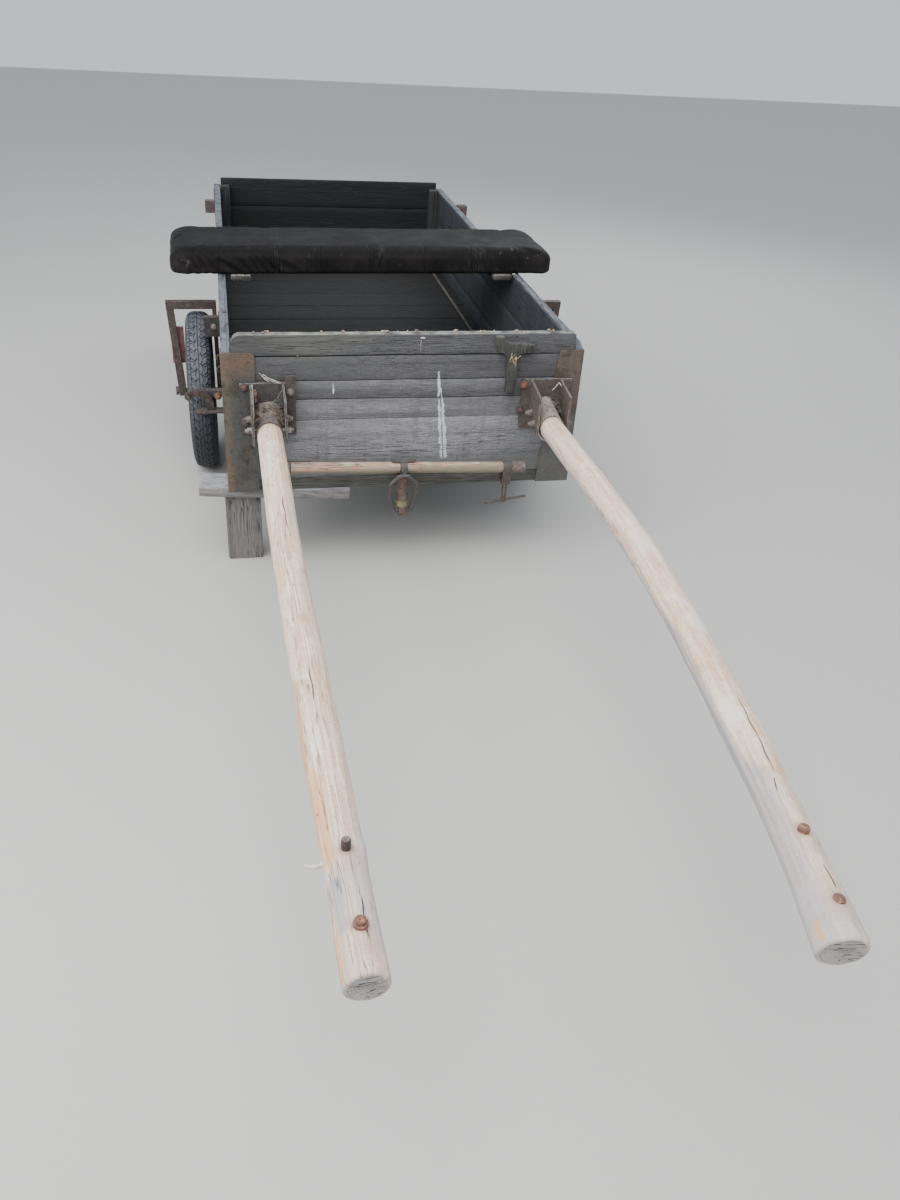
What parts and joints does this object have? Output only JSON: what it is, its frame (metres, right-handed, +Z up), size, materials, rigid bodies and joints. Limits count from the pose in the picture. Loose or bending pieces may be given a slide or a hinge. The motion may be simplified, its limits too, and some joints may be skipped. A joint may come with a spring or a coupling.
{
  "type": "two-wheeled horse cart",
  "caption": "Open wooden box cart on two spoked motor-cycle wheels, with a padded seat plank, two pole shafts, a whippletree with draw link and a hinged tailboard, parked on a timber prop.",
  "frame": {"origin": "on the ground under the middle of the overall box", "axes": "+Z up, -Y forward along the shafts, +X to the picture's right of the cart seen from the front"},
  "size_m": [1.548, 4.487, 0.8696],
  "materials": {
    "wall_boards": "weathered, bare",
    "floor_wood": "weathered, bare",
    "frame_wood": "weathered, bare",
    "pole_wood": "weathered, bare",
    "tree_wood": "weathered, bare",
    "cleat_wood": "weathered, bare",
    "prop_wood": "weathered, bare",
    "seat_wood": "weathered, bare",
    "rusty_plate": "rusty, matt",
    "dark_iron": "dark rust, matt",
    "bolt_steel": "dull, rusted",
    "draw_iron": "rusty, with lichen",
    "toggle_iron": "red-brown rust",
    "fork_paint": "rusty tube",
    "wheel_steel": "dull steel",
    "tyre": "matt rubber",
    "leatherette": "worn, soft sheen"
  },
  "bodies": {
    "cart_body": {"front_boards": "wall_boards", "front_beam": "frame_wood", "side_wall_left": "wall_boards", "side_wall_right": "wall_boards", "floor_boards": "floor_wood", "floor_batten": "seat_wood", "frame_rail_left": "frame_wood", "frame_rail_right": "frame_wood", "cross_bearers": "frame_wood", "tail_beam": "frame_wood", "corner_posts": "frame_wood", "corner_plate_left": "rusty_plate", "corner_plate_right": "rusty_plate", "rear_iron_left": "rusty_plate", "rear_iron_right": "rusty_plate", "tail_keeper_left": "dark_iron", "tail_keeper_right": "dark_iron", "tailboard_leaves": "dark_iron", "rein_cleat": "cleat_wood", "shaft_bracket_left": "dark_iron", "shaft_bracket_right": "dark_iron", "bracket_strap": "dark_iron", "shaft_socket_left": "dark_iron", "shaft_socket_right": "dark_iron", "shaft_left": "pole_wood", "shaft_right": "pole_wood", "shaft_bolts_left": "bolt_steel", "shaft_bolts_right": "bolt_steel", "draw_bar": "draw_iron", "seat_board": "seat_wood", "seat_battens": "seat_wood", "seat_cushion": "leatherette", "axle": "fork_paint", "axle_pads": "frame_wood", "wheel_side_plate_left": "rusty_plate", "wheel_fork_left": "fork_paint", "wheel_fork_right": "fork_paint", "wheel_stay_left": "dark_iron", "wheel_stay_right": "dark_iron", "brake_bracket_left": "dark_iron", "brake_bracket_right": "dark_iron", "brake_arm_left": "dark_iron", "brake_arm_right": "dark_iron", "prop_plank": "prop_wood", "prop_post": "prop_wood"},
    "wheel_left": {"wheel_rim_left": "wheel_steel", "tyre_left": "tyre"},
    "wheel_right": {"wheel_rim_right": "wheel_steel", "tyre_right": "tyre"},
    "tailboard": {"tailboard_boards": "wall_boards", "tailboard_straps": "dark_iron"},
    "whippletree": {"whippletree": "tree_wood", "tree_ferrules": "dark_iron", "tree_saddle": "dark_iron", "pear_link": "draw_iron", "trace_toggle": "toggle_iron"}
  },
  "joints": [
    {"name": "wheel_left_spin", "type": "hinge", "parent": "cart_body", "child": "wheel_left", "pos_m": [-0.662, 0.7115, 0.302], "axis": [1, 0, 0], "continuous": true},
    {"name": "wheel_right_spin", "type": "hinge", "parent": "cart_body", "child": "wheel_right", "pos_m": [0.662, 0.7115, 0.302], "axis": [1, 0, 0], "continuous": true},
    {"name": "tailboard_hinge", "type": "hinge", "parent": "cart_body", "child": "tailboard", "pos_m": [0, 2.2345, 0.404], "axis": [-1, 0, 0], "range_deg": [0, 120]},
    {"name": "whippletree_swivel", "type": "hinge", "parent": "cart_body", "child": "whippletree", "pos_m": [-0.017, -0.2335, 0.397], "axis": [0, 0, 1], "range_deg": [-7, 7]}
  ]
}
